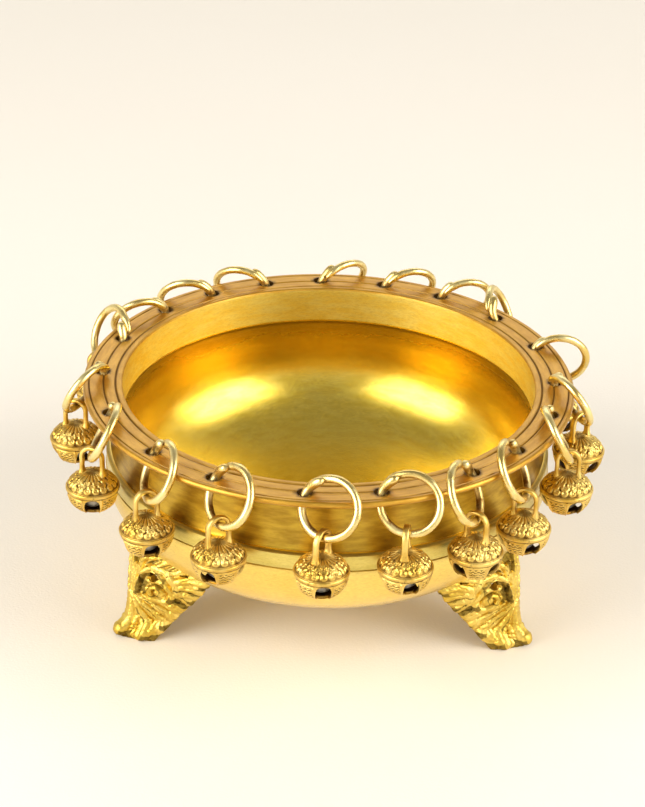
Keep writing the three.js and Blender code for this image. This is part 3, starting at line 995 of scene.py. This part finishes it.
def hole_cutter():
    """Oval drills through the leaf, square to its wings."""
    points = []
    faces = []
    sides = 20
    for x, h, half_width, half_height in FOOT_HOLES:
        for side in (-1, 1):
            _, width, _ = foot_line(h)
            u = side * x / width
            middle = foot_surface(np.array(u), np.array(h))
            beside = foot_surface(np.array(u + 0.02), np.array(h))
            across = unit((beside - middle) * (1, 1, 0))
            out = np.array((-across[1], across[0], 0))
            base = len(points)
            for depth in (-7, 7):
                for k in range(sides):
                    a = 2 * math.pi * k / sides
                    rise = np.array((0, 0, half_height * math.sin(a)))
                    offset = across * half_width * math.cos(a) * 1.2 + rise
                    points.append(middle + offset + out * depth)
            faces += prism_faces(base, sides)
    return outward(mesh_object("foot_holes", points, faces))


def foot_mesh():
    """One cast leaf foot, standing at +Y: relief in front, plain behind, cut to the belly."""
    columns, rows = 230, 190
    points, normal, u = foot_grid(columns, rows)
    edge = 0.3 + 0.7 * np.sqrt(np.clip(1 - np.abs(u) ** 12, 0, 1))
    relief = foot_relief(points[..., 0], points[..., 2])
    skin = rng.normal(0, 0.02, relief.shape)
    front = points + normal * ((1.9 + 0.95 * relief + skin) * edge)[..., None]
    back = points - normal * (1.5 * edge)[..., None]
    for surface in (front, back):
        low = np.linspace(0, 0.6, 6)[:, None]
        surface[:6, :, 2] = np.minimum(np.maximum(surface[:6, :, 2], low), low + 0.5)
        surface[0, :, 2] = 0
    faces = sheet_faces(rows, columns)
    foot = outward(mesh_object("foot", np.vstack([front.reshape(-1, 3), back.reshape(-1, 3)]), faces))
    belly = [(r + 0.06, z + RIM_HEIGHT) for r, z in outer_wall() if z < -20]
    belly = [(0, belly[0][1])] + belly[1:] + [(0, belly[-1][1])]
    cut(foot, turn_profile("belly", belly, 200))
    cut(foot, hole_cutter())
    outward(foot)
    set_attribute(foot.data, "patina_and_shade", foot_cavity(coordinates(foot.data)))
    mesh = foot.data
    bpy.data.objects.remove(foot)
    return mesh


def foot_cavity(points):
    """Dirt in the hollows between the fronds; the plain back is darker all over."""
    h = points[:, 2]
    relief = foot_relief(points[:, 0], h)
    out, width, sweep = foot_line(h)
    u = np.clip(np.abs(points[:, 0]) / width, 0, 1)
    behind = points[:, 1] < out - sweep * u ** 1.35 + 0.2
    dirt_and_shade = smooth_steps(-relief, -0.42, 0.70) * 0.80
    return np.where(behind, 0.6, dirt_and_shade)


def add_feet(material):
    """The same leaf at each foot's place."""
    mesh = foot_mesh()
    for name in FEET:
        low, high = (np.array(corner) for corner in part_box(name))
        middle = (low + high) / 2
        turn = math.atan2(-middle[0], middle[1])
        foot = placed(f"leaf_{name}", mesh)
        foot.matrix_world = Matrix.Rotation(turn, 4, "Z")
        finish_piece(foot, "bowl", [name], material)


# ---------------------------------------------------------------- floor
def add_floor():
    half = 4.0
    corners = [(-half, -half, 0), (half, -half, 0), (half, half, 0), (-half, half, 0)]
    floor = mesh_object("floor", corners, [(0, 1, 2, 3)], 1)
    floor.data.materials.append(stage_cloth())


add_camera()
add_lights()
add_floor()
add_bowl(bowl_brass())
foot_brass = cast_brass("foot_brass", (0.66, 0.44, 0.06), (0.86, 0.64, 0.16), (0.13, 0.08, 0.012),
                        roughness=0.33, grain=900, grain_depth=0.5)
add_feet(foot_brass)
wire = cast_brass("wire_brass", (0.78, 0.57, 0.18), (0.92, 0.77, 0.36), (0.20, 0.09, 0.015),
                  roughness=0.22, grain=600, grain_depth=0.12)
for number in range(1, RING_COUNT + 1):
    add_ring(number, wire)
bell_brass = cast_brass("bell_brass", (0.66, 0.41, 0.07), (0.88, 0.64, 0.19), (0.10, 0.04, 0.006),
                        roughness=0.27, grain=1100, grain_depth=0.35)
add_bells(bell_brass, pellet_iron())
